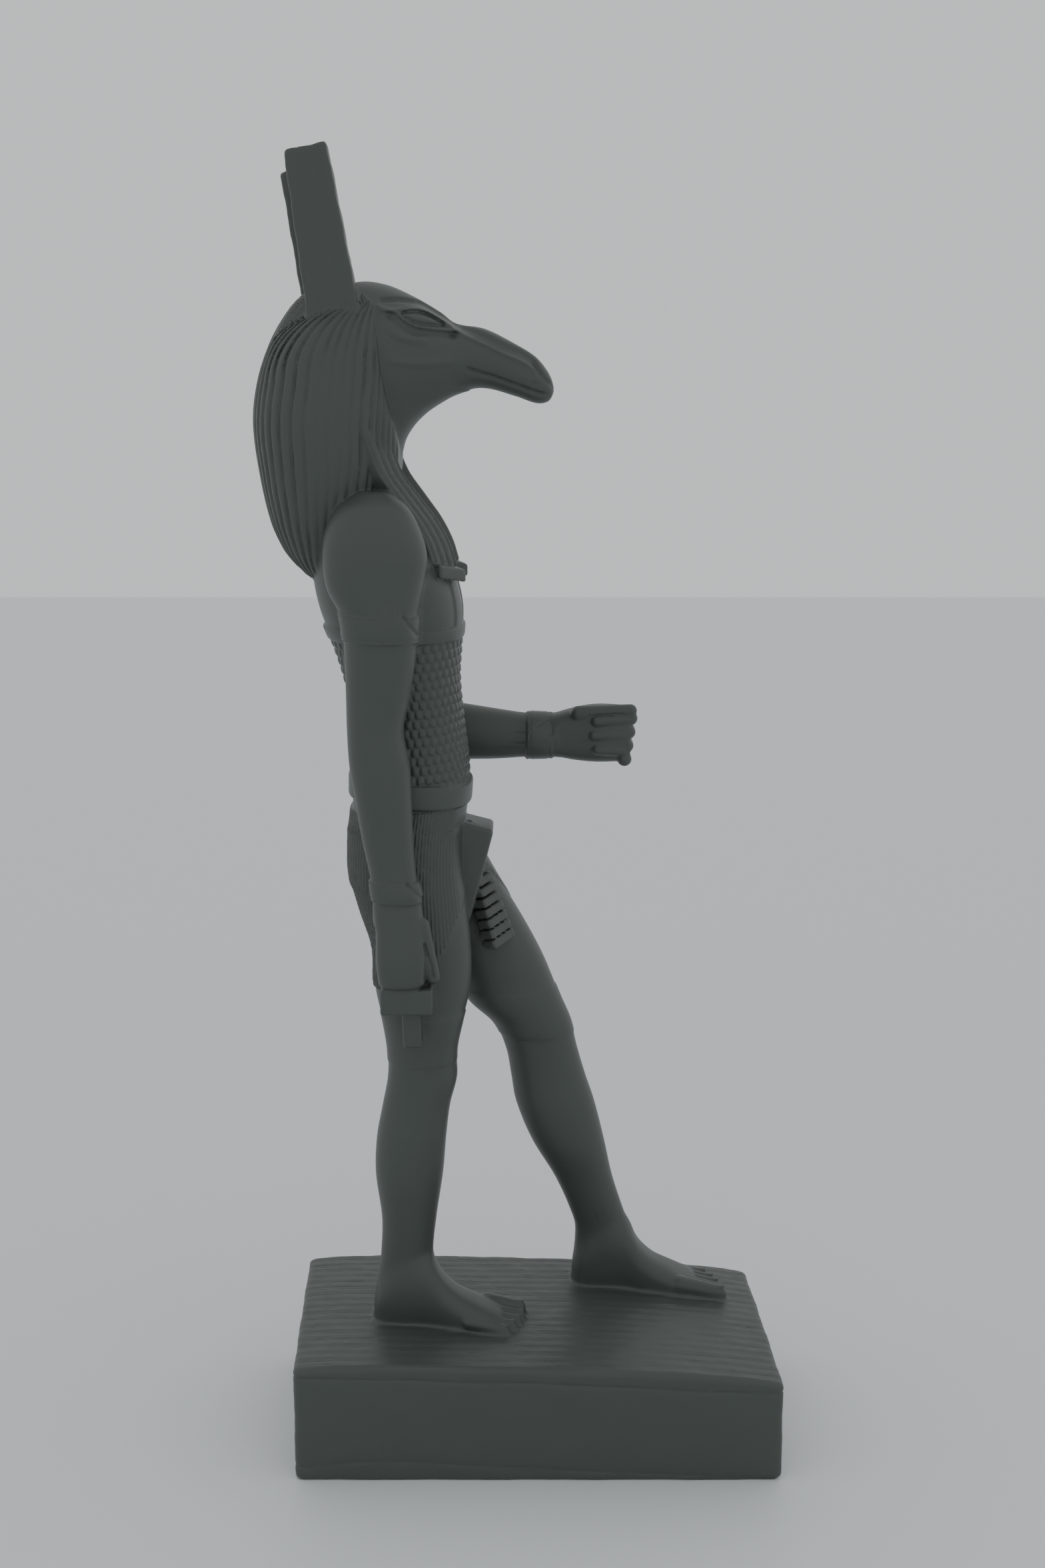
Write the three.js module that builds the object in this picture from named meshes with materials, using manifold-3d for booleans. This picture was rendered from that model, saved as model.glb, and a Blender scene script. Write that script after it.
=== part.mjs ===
// A striding god with the tall-eared head of the Set animal: a tabletop figure carved in dark stone, in
// one with its plinth. Millimetres, +Z up. The figure faces +X, its right side is towards -Y, and the
// origin is the middle of the plinth's underside.
import * as THREE from "three";
import Module from "manifold-3d";

const wasm = await Module();
wasm.setup();

// Driving dimensions
const PLINTH_LENGTH = 113.4; // along X, heel end to toe end
const PLINTH_DEPTH = 60.6; // along Y
const PLINTH_HEEL_HEIGHT = 27.5; // the block is thicker under the heel of the standing leg
const PLINTH_TOE_HEIGHT = 24;
const PLINTH_SKEW = -0.04; // the ends are a little out of square: shift along X for each mm along Y
const PLINTH_CROWN = 2; // how far the top bulges up midway along its length
const PLINTH_CAMBER = 0.4; // and midway across
const PLINTH_EDGE = 0.8; // worn bevel round the block
const MIDLINE = 5.5; // Y of the figure's own plane of symmetry
const SKIN = 0.7; // how far a band, belt or garment stands proud of the body
const STRANDS = 22; // locks of hair round the wig
const STRAND_DEPTH = 0.7; // peak to valley of the carved locks
const PLEATS = 16; // folds round the kilt
const PLEAT_DEPTH = 0.5;
const HEM_HEIGHT = 117; // the kilt's lower edge at the back and sides
const SLABS = 12; // steps of the pendant that hangs in front of the kilt
const BELT_GROW = 1.2; // how far the belt stands proud
const CHEST_BAND_GROW = 0.6;
const SINK = 3; // how far the feet run down into the plinth
const OUTSIDE = 60; // further out than any part of the figure

// Smooth curve through the rows of a table. The first number of a row is where it stands, and the
// others run smoothly from row to row.
function smooth(rows, at) {
  let i = 1;
  while (i < rows.length - 1 && rows[i][0] < at) i += 1;
  const [a, b] = [rows[i - 1], rows[i]];
  const before = rows[Math.max(i - 2, 0)];
  const after = rows[Math.min(i + 1, rows.length - 1)];
  const span = b[0] - a[0];
  const t = THREE.MathUtils.clamp((at - a[0]) / span, 0, 1);
  return a.map((value, k) => {
    if (k === 0) return at;
    const slopeA = a === before ? (b[k] - a[k]) / span : (b[k] - before[k]) / (b[0] - before[0]);
    const slopeB = b === after ? (b[k] - a[k]) / span : (after[k] - a[k]) / (after[0] - a[0]);
    const t2 = t * t;
    const t3 = t2 * t;
    return (
      (2 * t3 - 3 * t2 + 1) * value +
      (t3 - 2 * t2 + t) * span * slopeA +
      (3 * t2 - 2 * t3) * b[k] +
      (t3 - t2) * span * slopeB
    );
  });
}

// Rows of a table with more rows between them, at most a step apart. The given rows are kept.
function resample(rows, step) {
  return rows.flatMap((row, i) => {
    if (i === rows.length - 1) return [row];
    const gap = rows[i + 1][0] - row[0];
    const parts = Math.max(1, Math.round(gap / step));
    return Array.from({ length: parts }, (_, k) => smooth(rows, row[0] + (gap * k) / parts));
  });
}

// One closed ring of points: a superellipse of half sizes a and b along the two axes. A power of 2 is
// an ellipse, and a higher one is squarer. ripple(angle) adds to its radius.
function ring({ centre, u, v, a, b, power = 2, sides = 20, ripple = null }) {
  return Array.from({ length: sides }, (_, i) => {
    const angle = (2 * Math.PI * i) / sides;
    const c = Math.cos(angle);
    const s = Math.sin(angle);
    const reach = (Math.abs(c) ** power + Math.abs(s) ** power) ** (-1 / power);
    const grow = ripple ? ripple(i, angle) : 0;
    return centre
      .clone()
      .addScaledVector(u, c * (a * reach + grow))
      .addScaledVector(v, s * (b * reach + grow));
  });
}

// A closed skin over rings of equally many points, turned to face outwards.
function skin(rings) {
  const sides = rings[0].length;
  const points = rings.flat();
  const ends = [rings[0], rings[rings.length - 1]].map((end) =>
    end.reduce((sum, p) => sum.add(p), new THREE.Vector3()).divideScalar(sides),
  );
  points.push(...ends);
  const faces = [];
  for (let r = 0; r < rings.length - 1; r += 1) {
    for (let i = 0; i < sides; i += 1) {
      const j = (i + 1) % sides;
      const [p, q] = [r * sides + i, r * sides + j];
      faces.push(p, q, q + sides, p, q + sides, p + sides);
    }
  }
  const last = (rings.length - 1) * sides;
  for (let i = 0; i < sides; i += 1) {
    const j = (i + 1) % sides;
    faces.push(points.length - 2, j, i, points.length - 1, last + i, last + j);
  }
  return solid(new Float32Array(points.flatMap((p) => p.toArray())), new Uint32Array(faces));
}

// A closed mesh as a solid. One that comes out facing inwards is turned round.
function solid(vertProperties, triVerts) {
  const build = () => new wasm.Manifold(new wasm.Mesh({ numProp: 3, vertProperties, triVerts }));
  const made = build();
  if (made.volume() > 0) return made;
  for (let i = 0; i < triVerts.length; i += 3) {
    [triVerts[i + 1], triVerts[i + 2]] = [triVerts[i + 2], triVerts[i + 1]];
  }
  return build();
}

const ALONG_X = new THREE.Vector3(1, 0, 0);
const ALONG_Y = new THREE.Vector3(0, 1, 0);
const ALONG_Z = new THREE.Vector3(0, 0, 1);

// A limb that stands up. Its rows are height, back, front, side and half width: X of its back and front
// edges, Y of its middle, and half its width along Y.
function upright(rows, { step = 7.5, sides = 12, power = 2.1, ripple = null, grow = 0 } = {}) {
  return skin(
    resample(rows, step).map(([z, back, front, side, half]) =>
      ring({
        centre: new THREE.Vector3((back + front) / 2, side, z),
        u: ALONG_X,
        v: ALONG_Y,
        a: (front - back) / 2 + grow,
        b: half + grow,
        power,
        sides,
        ripple,
      }),
    ),
  );
}

// A limb that points forwards. Its rows are X, bottom, top, side and half width.
function forward(rows, { step = 6, sides = 12, power = 2.1, grow = 0 } = {}) {
  return skin(
    resample(rows, step).map(([x, bottom, top, side, half]) =>
      ring({
        centre: new THREE.Vector3(x, side, (bottom + top) / 2),
        u: ALONG_Y,
        v: ALONG_Z,
        a: half + grow,
        b: (top - bottom) / 2 + grow,
        power,
        sides,
      }),
    ),
  );
}

// A rod with round ends from one point to another, for fingers, toes and edges.
function rod(from, to, startRadius, endRadius = startRadius, sides = 6) {
  const [a, b] = [new THREE.Vector3(...from), new THREE.Vector3(...to)];
  const axis = b.clone().sub(a).normalize();
  const u = new THREE.Vector3(-axis.z, 0.1, axis.x + 0.01).cross(axis).normalize();
  const v = axis.clone().cross(u);
  const dome = [-60, 0, 0, 60];
  return skin(
    dome.map((degrees, i) => {
      const angle = THREE.MathUtils.degToRad(degrees);
      const [end, radius] = i < dome.length / 2 ? [a, startRadius] : [b, endRadius];
      return ring({
        centre: end.clone().addScaledVector(axis, Math.sin(angle) * radius),
        u,
        v,
        a: Math.cos(angle) * radius,
        b: Math.cos(angle) * radius,
        sides,
      });
    }),
  );
}

// A block between two rectangles. Each end is a centre and its half sizes along u and v.
function block(ends, u, v, power = 12, sides = 8) {
  return skin(
    ends.map(([centre, a, b]) => ring({ centre: new THREE.Vector3(...centre), u, v, a, b, power, sides })),
  );
}

// Height of the plinth's top, which falls towards the toes and bulges a little in the middle
function ground(x, y) {
  const along = (2 * x) / PLINTH_LENGTH;
  const across = (2 * y) / PLINTH_DEPTH;
  const level = THREE.MathUtils.lerp(PLINTH_HEEL_HEIGHT, PLINTH_TOE_HEIGHT, (1 + along) / 2);
  return level + PLINTH_CROWN * (1 - Math.min(1, along ** 4)) + PLINTH_CAMBER * (1 - across ** 2);
}

function plinth() {
  const across = 4;
  const section = (x, inset) => {
    const side = PLINTH_DEPTH / 2 - inset;
    const shoulder = ground(x, side) - inset - PLINTH_EDGE;
    const outline = [
      [-side + PLINTH_EDGE, inset],
      [side - PLINTH_EDGE, inset],
      [side, inset + PLINTH_EDGE],
      [side, shoulder],
    ];
    for (let i = 0; i <= across; i += 1) {
      const y = (1 - (2 * i) / across) * (side - PLINTH_EDGE);
      outline.push([y, ground(x, y) - inset]);
    }
    outline.push([-side, shoulder], [-side, inset + PLINTH_EDGE]);
    return outline.map(([y, z]) => new THREE.Vector3(x + PLINTH_SKEW * y, y, z));
  };
  const half = PLINTH_LENGTH / 2;
  const inner = [-1, -0.8, -0.5, 0, 0.5, 0.8, 1].map((share) => section(share * (half - PLINTH_EDGE), 0));
  return skin([section(-half, PLINTH_EDGE), ...inner, section(half, PLINTH_EDGE)]);
}

// The leg that stands, on the figure's right
const NEAR_LEG = [
  [28, -38.2, -24, -4.8, 4.9],
  [38, -37.4, -23.6, -4.7, 5.1],
  [45.5, -36.6, -24.1, -4.6, 5.1],
  [54.5, -36.3, -23.2, -4.6, 5.9],
  [66, -37.6, -21.5, -4.6, 7.6],
  [75, -37.2, -20.7, -4.6, 8],
  [83, -35.7, -19.7, -4.6, 7.5],
  [90, -34.4, -18, -4.6, 7.4],
  [96.5, -34.3, -18.1, -4.6, 7.6],
  [103.5, -35.3, -16.7, -4.5, 8.6],
  [112, -37, -14.8, -4.4, 9.8],
  [122, -37.4, -14.6, -4, 10.4],
  [131, -40.2, -15.6, -3.5, 10.4],
  [140, -42.4, -17, -3, 10],
  [148, -42, -18, -2, 9.5],
];

// The leg that steps forward, on the figure's left
const FAR_LEG = [
  [28, 10.2, 24.4, 17.8, 4.8],
  [41.5, 10.8, 24.8, 17.8, 5.1],
  [45.5, 9.9, 23.2, 17.7, 5.1],
  [55.5, 5.7, 20, 17.4, 5.9],
  [66, -0.3, 17.7, 17, 7.6],
  [76, -4.2, 15.2, 16.7, 8],
  [83, -5.4, 12.9, 16.5, 7.5],
  [90, -6.7, 10.9, 16.3, 7.4],
  [97, -9.8, 9.2, 16, 7.8],
  [103, -15.9, 6.7, 15.8, 8.8],
  [114, -22, 2.3, 15.5, 10],
  [124, -28, -2.9, 15, 10.4],
  [134, -35.5, -8.8, 14.5, 10.4],
  [142, -40, -13, 13.8, 10],
  [150, -41.6, -17, 13, 9.5],
];

// A foot: heel, instep and five toes. heel is X of its back end, and inner is +1 where the big toe is on
// the +Y side. turn is how far its middle runs along Y for each mm forward.
function foot({ heel, side, inner, turn, length }) {
  // distance from the heel, height over the plinth and half width
  const rows = [
    [0.3, 4.5, 3.2],
    [2, 10, 4.9],
    [7, 16, 5.3],
    [12.5, 17.3, 5.5],
    [14.8, 14.6, 5.7],
    [17.2, 10.6, 6],
    [20.5, 7.6, 6.4],
    [24.5, 5.7, 6.9],
    [28, 4.4, 7.2],
    [31, 3.4, 7.2],
  ];
  const centre = (along) => side + turn * along;
  const body = forward(
    rows.map(([along, height, half]) => {
      const x = heel + along;
      const level = ground(x, centre(along));
      return [x, level - SINK, level + height, centre(along), half];
    }),
    { power: 2.6 },
  );
  // big toe first: how far it stops short of the longest, and its radius
  const sizes = [
    [0, 2],
    [0.2, 1.45],
    [1, 1.4],
    [2.2, 1.35],
    [3.9, 1.3],
  ];
  const toes = sizes.map(([short, radius], i) => {
    const across = inner * (5 - 2.65 * i - (i > 0 ? 0.55 : 0));
    const root = 28 - i;
    const tip = length - short - radius;
    const place = (along, lift) => {
      const y = centre(along) + across;
      return [heel + along, y, ground(heel + along, y) + lift];
    };
    return rod(place(root, 2.4), place(tip, radius * 0.72), radius * 1.15, radius);
  });
  return toes.reduce((sum, toe) => sum.add(toe), body);
}

// Height, back, front, side and half width of the trunk, from the hips up to the shoulders
const TORSO = [
  [140, -43.2, -17.5, MIDLINE, 18],
  [148, -43.3, -16.6, MIDLINE, 17.8],
  [156, -42.4, -15.5, MIDLINE, 17],
  [164, -42, -15.5, MIDLINE, 16.2],
  [174, -41.8, -16.5, MIDLINE, 16],
  [184, -43.6, -17.3, MIDLINE, 17.4],
  [191, -45.7, -16.9, MIDLINE, 19],
  [200, -49, -16.4, MIDLINE, 21.4],
  [208, -50.4, -17.5, MIDLINE, 22.6],
  [216, -50, -21.5, MIDLINE, 21.5],
  [224, -47, -27, MIDLINE, 16],
  [230, -45, -30, MIDLINE, 11],
];

// A band round an upright body, from its rows between two heights
function band(rows, low, high, grow, { sides = 16, power = 2.1, tilt = 0 } = {}) {
  const level = (at, more) => {
    const [z, back, front, side, half] = smooth(rows, at);
    const across = new THREE.Vector3(1, 0, tilt);
    return ring({
      centre: new THREE.Vector3((back + front) / 2, side, z),
      u: across,
      v: ALONG_Y,
      a: (front - back) / 2 + more,
      b: half + more,
      power,
      sides,
    });
  };
  const lip = 0.5;
  return skin([level(low, 0.1), level(low + lip, grow), level(high - lip, grow), level(high, 0.1)]);
}

// The kilt: a wrapped, pleated cloth over the hips and both thighs
function kilt() {
  const ripple = (i) => (i % 2 ? 0 : PLEAT_DEPTH);
  const options = { step: 8, sides: 2 * PLEATS, power: 2.3, ripple, grow: SKIN };
  const hips = upright(TORSO.filter(([z]) => z <= 156), options);
  const nearThigh = upright(NEAR_LEG.filter(([z]) => z >= 112), { ...options, sides: PLEATS });
  const farThigh = upright(FAR_LEG.filter(([z]) => z >= 114), { ...options, sides: PLEATS });
  return hips.add(nearThigh).add(farThigh).subtract(belowHem());
}

// A post standing on a rectangle, its top cut along a sloping plane
function post([x0, x1], [y0, y1], topAt) {
  const corners = [[x0, y0], [x1, y0], [x1, y1], [x0, y1]];
  return skin([
    corners.map(([x, y]) => new THREE.Vector3(x, y, OUTSIDE)),
    corners.map(([x, y]) => new THREE.Vector3(x, y, topAt(x, y))),
  ]);
}

// What lies below the hem: level at the back and sides, and rising to the pendant at the front of each
// thigh, where the wrapped edges curve up
function belowHem() {
  const level = post([-OUTSIDE, OUTSIDE], [-OUTSIDE, OUTSIDE], () => HEM_HEIGHT);
  const nearEdge = (x, y) => 122 + 1.6 * (x + 21.7) + 0.4 * (y + 12);
  const farEdge = (x, y) => Math.max(131 + 0.3 * (x + 5.6) - 1.5 * (y - 16), 90);
  const near = post([-25, 0], [-OUTSIDE, 0.5], nearEdge);
  const far = post([-18, 20], [8.5, OUTSIDE], farEdge);
  return level.add(near).add(far);
}

// The pendant in front of the kilt: a strip of stacked slabs that widens downwards
function pendant() {
  const top = new THREE.Vector3(-16.6, 3.4, 151);
  const bottom = new THREE.Vector3(-8.6, 4, 119.6);
  const u = new THREE.Vector3(0.5, 0.87, 0);
  const v = new THREE.Vector3(0.87, -0.5, 0);
  const rings = [];
  for (let i = 0; i < SLABS; i += 1) {
    for (const [share, lift] of [[0.1, 0], [0.9, 0.7]]) {
      const t = (i + share) / SLABS;
      rings.push(
        ring({
          centre: top.clone().lerp(bottom, t),
          u,
          v,
          a: THREE.MathUtils.lerp(1.8, 4.8, t),
          b: 1.8 + lift,
          power: 5,
          sides: 6,
        }),
      );
    }
  }
  return skin(rings);
}

// The arm that hangs, on the figure's right
const NEAR_ARM = [
  [134, -36.1, -25.2, -18.6, 4.6],
  [142, -36.8, -26.4, -18.2, 4.8],
  [151, -38.6, -27, -17.8, 5.3],
  [160, -40, -27.3, -17.4, 6.1],
  [167, -41.1, -27.6, -17.1, 6.4],
  [175, -41.5, -28.9, -16.9, 6.3],
  [183, -41.6, -27.3, -16.7, 6.9],
  [192, -41.8, -26, -16.6, 7.6],
  [200, -42.4, -25.6, -16.4, 8.1],
  [206, -45.4, -24.5, -16, 8.8],
  [213, -46.3, -23.4, -15.6, 9.1],
  [219, -45.6, -25, -14.8, 8.6],
  [223.8, -43, -27.8, -13.4, 7],
  [227, -38.4, -32, -12, 4],
];

// The upper arm on the figure's left mirrors the other down to its elbow.
const FAR_UPPER_ARM = [
  [160.6, -39, -33, 2 * MIDLINE + 16.7, 3.4],
  [163.5, -42, -29, 2 * MIDLINE + 16.7, 5.6],
  ...NEAR_ARM.filter(([z]) => z > 170).map(([z, back, front, side, half]) => [
    z,
    back,
    front,
    2 * MIDLINE - side,
    half,
  ]),
];

// X, bottom, top, side and half width of the forearm held out level
const FAR_FOREARM = [
  [-40, 163, 173.6, 27.7, 4.4],
  [-34, 160.6, 176, 27.7, 6],
  [-25, 160.3, 175, 27.7, 6.3],
  [-17, 160.5, 173.9, 27.6, 6.1],
  [-9.4, 160.6, 172.7, 27.5, 5.6],
  [-1.9, 161, 171.6, 27.4, 5.2],
  [5, 161.2, 171.2, 27.3, 4.9],
];

// The closed hand of the hanging arm, with the ankh that it holds by its loop
function nearHand() {
  const palm = upright(
    [
      [115.2, -34.2, -26, -18.4, 3.4],
      [117.5, -35.8, -24.2, -18.6, 4.8],
      [123, -35.9, -24.2, -18.8, 5.2],
      [129, -35.8, -24.6, -18.6, 5],
      [135, -36, -25.6, -18.4, 4.5],
    ],
    { power: 2.8 },
  );
  const fingers = [0, 1, 2, 3].map((i) => {
    const z = 127.6 - i * 3.2;
    return rod([-25, -19.6, z], [-26.4, -14, z - 0.4], 1.8, 1.7);
  });
  const thumb = rod([-25, -19.4, 130.6], [-23, -18.8, 118.4], 2, 1.9);
  const crossbar = block(
    [
      [[-35, -17, 111.6], 2.3, 5.2],
      [[-22.8, -17, 111.7], 2.5, 5.4],
    ],
    ALONG_Z,
    ALONG_Y,
  );
  const stem = block(
    [
      [[-27.9, -14.6, 99.2], 2.6, 4],
      [[-27.9, -15.4, 111], 2.6, 5],
    ],
    ALONG_X,
    ALONG_Y,
  );
  return [...fingers, thumb, crossbar, stem].reduce((sum, piece) => sum.add(piece), palm);
}

// The clenched hand of the arm held out, thumb on top
function farHand() {
  const palm = forward(
    [
      [4.5, 161.3, 171.1, 27.3, 4.4],
      [10.5, 160.1, 173, 27.1, 5.1],
      [16, 159.7, 173.6, 26.9, 5.6],
      [22.5, 160, 173.2, 26.8, 5.4],
    ],
    { power: 2.8 },
  );
  const fingers = [0, 1, 2, 3].map((i) => 171.8 - i * 3.4);
  const knuckles = fingers.map((z, i) => {
    const x = 23.5 - i * 0.4;
    return rod([x, 23.4, z], [x, 30.4, z], 1.95, 1.9);
  });
  const folded = fingers.slice(1).map((z) => rod([22, 22.2, z], [15, 21.6, z], 1.75, 1.6));
  const thumb = rod([11, 23, 172.2], [21.6, 22.4, 172.6], 1.7, 1.6);
  return [...knuckles, ...folded, thumb].reduce((sum, piece) => sum.add(piece), palm);
}

// The striated wig: the mass over the head and down the back, then the two lappets on the chest
function wig() {
  const ripple = (i) => (i % 2 ? -STRAND_DEPTH / 2 : STRAND_DEPTH / 2);
  const mass = upright(
    [
      [207.3, -51.6, -46, MIDLINE, 12],
      [210, -54.4, -44, MIDLINE, 15.5],
      [214, -57.3, -43, MIDLINE, 17.8],
      [220, -59.8, -40, MIDLINE, 18.8],
      [231, -62.1, -31, MIDLINE, 19.6],
      [242, -63.2, -32, MIDLINE, 19.4],
      [251, -62, -34, MIDLINE, 17.8],
      [259, -59.2, -34.6, MIDLINE, 16],
      [267, -54.8, -35.6, MIDLINE, 11.6],
      [270.6, -51, -40, MIDLINE, 6.5],
    ],
    { step: 12, sides: 2 * STRANDS, power: 2.3, ripple },
  );
  return mass.add(lappet(-1)).add(lappet(1));
}

// A lappet of the wig, ending in a hem block. hand is -1 on the figure's right.
function lappet(hand) {
  const width = new THREE.Vector3(-0.54, 0.84 * hand, 0);
  const normal = new THREE.Vector3(0.78, 0.5 * hand, 0.38);
  const ripple = (i) => (i % 2 ? 0 : 0.3);
  // X, distance from the midline, height, half width and half thickness
  const rows = [
    [-36.6, 12.6, 240, 4.4, 2.4],
    [-33.4, 12, 231, 4.6, 2.4],
    [-29.2, 11.3, 225, 4.8, 2.3],
    [-25.6, 10.8, 220, 4.8, 2.2],
    [-22.9, 10.4, 215, 4.8, 2.1],
    [-21.4, 10.2, 210.5, 4.8, 2],
  ];
  const strip = skin(
    rows.map(([x, out, z, a, b]) =>
      ring({
        centre: new THREE.Vector3(x, MIDLINE + hand * out, z),
        u: width,
        v: normal,
        a,
        b,
        power: 3,
        sides: 12,
        ripple,
      }),
    ),
  );
  const hem = block(
    [
      [[-20.8, MIDLINE + hand * 10.2, 206.8], 5, 2.5],
      [[-21.4, MIDLINE + hand * 10.2, 210.8], 5, 2.5],
    ],
    width,
    new THREE.Vector3(0.84, 0.54 * hand, 0),
  );
  return strip.add(hem);
}

// Head and long down-curved snout: X, bottom, top, side and half width
const HEAD = [
  [-50, 246, 266, MIDLINE, 10],
  [-45, 240, 270.4, MIDLINE, 12.6],
  [-39, 238, 272.5, MIDLINE, 13.4],
  [-33, 239, 271.9, MIDLINE, 12.8],
  [-27, 243.6, 269.4, MIDLINE, 11],
  [-21, 246.8, 266, MIDLINE, 8.6],
  [-17.5, 248.5, 263.5, MIDLINE, 7.1],
  [-11, 249.2, 262.3, MIDLINE, 5.7],
  [-4, 247.4, 258.9, MIDLINE, 4.8],
  [0.6, 245.9, 256, MIDLINE, 4.1],
  [3.3, 246.3, 252.7, MIDLINE, 3],
  [4.5, 248, 250, MIDLINE, 1.2],
];

// Height, back, front, side and half width of the throat
const NECK = [
  [216, -46, -24, MIDLINE, 12],
  [223, -46, -28, MIDLINE, 10.4],
  [230, -46, -30.2, MIDLINE, 9.6],
  [237, -46, -29.2, MIDLINE, 9.2],
  [240.5, -46, -27.4, MIDLINE, 9],
  [244.2, -46, -24.2, MIDLINE, 8.4],
  [246.8, -46, -20.8, MIDLINE, 7.4],
  [248.8, -46, -17, MIDLINE, 6],
];

// The two tall ears: flat blades that lean back, cut off with the front corner higher. The one on the
// left is a little broader, and set further back.
function ears() {
  const slope = new THREE.Vector3(1, 0, 0.2);
  const blade = (side, root, tip) =>
    block(
      [
        [[root.x + 0.8, side, 262], root.half, 3],
        [[root.x, side, 271.2], root.half, 3],
        [[tip.x, side, tip.z], tip.half, 2.7],
      ],
      slope,
      ALONG_Y,
    );
  const near = blade(MIDLINE - 9, { x: -44.8, half: 5.8 }, { x: -49.4, z: 300.3, half: 4.7 });
  const far = blade(MIDLINE + 9, { x: -46.6, half: 6.2 }, { x: -51.6, z: 297.8, half: 5.6 });
  return near.add(far);
}

// The stone left standing between each arm and the trunk
const NEAR_WEB = [
  [136, -36, -30, -13, 5],
  [160, -37.5, -31, -12.5, 5],
  [200, -42, -30, -13, 6],
  [222, -43, -32, -8, 7],
];
const FAR_WEB = [
  [163, -40, -31, 23, 5],
  [200, -42, -30, 24, 6],
  [222, -43, -32, 19, 7],
];

// The pieces joined, and the hollows that are closed in between them left as stone
function joined(pieces) {
  const whole = pieces.reduce((sum, piece) => sum.add(piece));
  const [outer] = whole.decompose().filter((body) => body.volume() > 0);
  return outer;
}

// Everything is cut from one block, so all of it joins into one solid.
function statue() {
  const bracelet = [
    [-1.5, 161, 171.8, 27.4, 5.5],
    [-1.1, 160.8, 172, 27.4, 5.8],
    [4.3, 160.9, 171.8, 27.3, 5.6],
    [4.8, 161.1, 171.5, 27.3, 5.2],
  ];
  return joined([
    plinth(),
    upright(NEAR_LEG),
    upright(FAR_LEG),
    foot({ heel: -38.4, side: -4.7, inner: 1, turn: -0.08, length: 36.6 }),
    foot({ heel: 10, side: 17.9, inner: -1, turn: -0.06, length: 38.5 }),
    upright(TORSO, { sides: 16, step: 9, power: 2.3 }),
    kilt(),
    band(TORSO, 155.5, 161.1, BELT_GROW, { power: 2.3, tilt: -0.07 }),
    band(TORSO, 193, 196.2, CHEST_BAND_GROW, { power: 2.3 }),
    pendant(),
    upright(NEAR_WEB, { sides: 8, step: 30 }),
    upright(FAR_WEB, { sides: 8, step: 30 }),
    upright(NEAR_ARM),
    band(NEAR_ARM, 194.2, 200.5, SKIN, { sides: 12 }),
    band(NEAR_ARM, 134.7, 140.6, SKIN, { sides: 12 }),
    nearHand(),
    upright(FAR_UPPER_ARM),
    band(FAR_UPPER_ARM, 194.2, 200.5, SKIN, { sides: 12 }),
    forward(FAR_FOREARM),
    forward(bracelet),
    farHand(),
    wig(),
    forward(HEAD, { sides: 12 }),
    upright(NECK),
    ears(),
  ]);
}

// A solid as a mesh of its own stone
function meshOf(name, shape, material) {
  const { numProp, vertProperties, triVerts } = shape.getMesh();
  const positions = new Float32Array((vertProperties.length / numProp) * 3);
  for (let i = 0; i < positions.length / 3; i += 1) {
    positions.set(vertProperties.subarray(i * numProp, i * numProp + 3), 3 * i);
  }
  const geometry = new THREE.BufferGeometry();
  geometry.setAttribute("position", new THREE.BufferAttribute(positions, 3));
  geometry.setIndex(new THREE.BufferAttribute(triVerts, 1));
  geometry.computeVertexNormals();
  const mesh = new THREE.Mesh(geometry, material);
  mesh.name = name;
  return mesh;
}

const stone = new THREE.MeshStandardMaterial({ color: 0x343a36, roughness: 0.5, metalness: 0 });
const figure = new THREE.Group();
figure.add(meshOf("statue", statue(), stone));

export default figure;
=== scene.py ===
"""Looks of the striding stone figure: one carved surface, its stone, the floor, the light and the camera.

The carving is worked out as a distance field in millimetres, in the frame's own axes: limbs from short
tables of sections, then the relief cut into them. The field is turned into one closed mesh."""

import math
from concurrent.futures import ThreadPoolExecutor

import bpy
import numpy as np
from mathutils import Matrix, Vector


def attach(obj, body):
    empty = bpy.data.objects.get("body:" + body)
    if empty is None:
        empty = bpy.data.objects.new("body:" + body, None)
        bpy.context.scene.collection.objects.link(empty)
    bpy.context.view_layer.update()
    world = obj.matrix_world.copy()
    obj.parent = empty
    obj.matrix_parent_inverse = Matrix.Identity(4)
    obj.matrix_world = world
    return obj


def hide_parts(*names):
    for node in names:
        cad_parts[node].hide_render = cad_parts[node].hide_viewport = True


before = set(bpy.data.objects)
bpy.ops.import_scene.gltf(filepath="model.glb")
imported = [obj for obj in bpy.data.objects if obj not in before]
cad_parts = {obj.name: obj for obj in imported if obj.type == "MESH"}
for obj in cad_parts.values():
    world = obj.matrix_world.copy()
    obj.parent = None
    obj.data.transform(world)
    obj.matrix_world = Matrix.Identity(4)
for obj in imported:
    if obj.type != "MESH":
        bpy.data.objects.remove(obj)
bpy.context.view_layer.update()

MM = 0.001
FAR = 6.0  # a piece further off than this doesn't matter to a point
MIDLINE = 5.5  # Y of the figure's plane of symmetry

# Plinth
PLINTH_LENGTH = 113.4
PLINTH_DEPTH = 60.6
PLINTH_HEEL_HEIGHT = 27.5
PLINTH_TOE_HEIGHT = 24.0
PLINTH_SKEW = -0.04
PLINTH_CROWN = 2.0
PLINTH_CAMBER = 0.4
PLINTH_EDGE = 0.9


# Fields

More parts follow.
